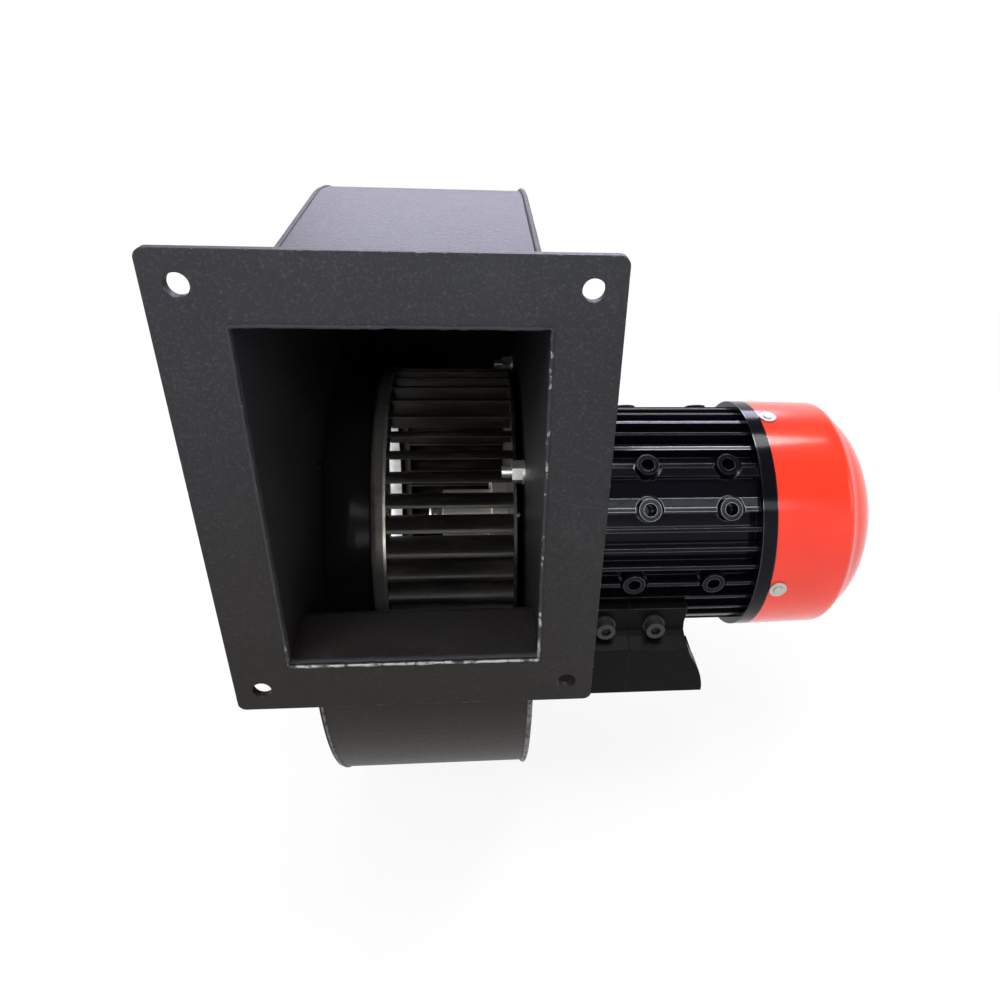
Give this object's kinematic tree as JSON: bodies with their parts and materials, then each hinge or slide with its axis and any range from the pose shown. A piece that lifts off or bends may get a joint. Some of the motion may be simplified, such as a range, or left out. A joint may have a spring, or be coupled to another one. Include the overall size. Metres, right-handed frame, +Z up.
{
  "type": "dc blower fan",
  "caption": "Motor-mounted centrifugal blower: black sheet-metal scroll with a rectangular outlet flange, drum impeller, finned motor with a red fan cowl and two feet.",
  "frame": {"origin": "centre of the motor's foot bolt pattern, on the plane that the feet stand on", "axes": "+X along the shaft from the impeller to the cowl, the outlet faces -Y, +Z up"},
  "size_m": [0.314, 0.3276, 0.3387],
  "materials": {
    "casing_black": "satin",
    "flange_black": "satin",
    "cone_black": "gloss",
    "motor_black": "gloss",
    "foot_black": "satin",
    "cowl_red": "gloss",
    "zinc_steel": "satin",
    "black_steel": "satin",
    "rubber_black": "matte",
    "nylon_black": "matte",
    "terminal_cream": "matte",
    "lamination": "satin",
    "copper": "satin",
    "board_green": "satin",
    "bearing_steel": "polished",
    "ground_steel": "satin",
    "magnet_grey": "satin",
    "impeller_black": "satin",
    "rim_bright": "satin",
    "hub_alloy": "satin"
  },
  "bodies": {
    "housing": {"scroll_wrap": "casing_black", "inlet_side_plate": "casing_black", "motor_side_plate": "casing_black", "outlet_flange": "flange_black", "inlet_cone": "cone_black", "inlet_cone_rivets": "cone_black", "drive_end_shield": "motor_black", "flange_bolts": "zinc_steel", "flange_washers": "zinc_steel", "flange_nuts": "zinc_steel", "motor_housing": "motor_black", "rear_end_shield": "motor_black", "end_shield_screws": "zinc_steel", "front_foot": "foot_black", "back_foot": "foot_black", "foot_bolts": "black_steel", "fan_cowl": "cowl_red", "cowl_screws": "zinc_steel", "cowl_washers": "zinc_steel", "terminal_box": "motor_black", "terminal_gasket": "rubber_black", "terminal_lid": "motor_black", "terminal_lid_screws": "zinc_steel", "terminal_block": "terminal_cream", "cable_gland": "nylon_black", "gland_nut": "nylon_black", "stator_core": "lamination", "stator_windings": "copper", "sensor_board": "board_green", "drive_bearing_outer": "bearing_steel", "rear_bearing_outer": "bearing_steel", "wave_spring": "bearing_steel", "shaft_seal": "rubber_black"},
    "rotor": {"motor_shaft": "ground_steel", "shaft_key": "ground_steel", "rotor_core": "lamination", "rotor_magnets": "magnet_grey", "drive_bearing_inner": "bearing_steel", "rear_bearing_inner": "bearing_steel", "drive_bearing_balls": "bearing_steel", "rear_bearing_balls": "bearing_steel", "impeller_back_plate": "impeller_black", "impeller_hub": "hub_alloy", "hub_rivets": "zinc_steel", "impeller_blades": "impeller_black", "impeller_front_ring": "rim_bright", "hub_set_screws": "black_steel", "cooling_fan": "nylon_black", "fan_circlip": "black_steel"}
  },
  "joints": [
    {"name": "impeller_spin", "type": "hinge", "parent": "housing", "child": "rotor", "pos_m": [-0.1055, 0, 0.071], "axis": [1, 0, 0], "continuous": true}
  ]
}
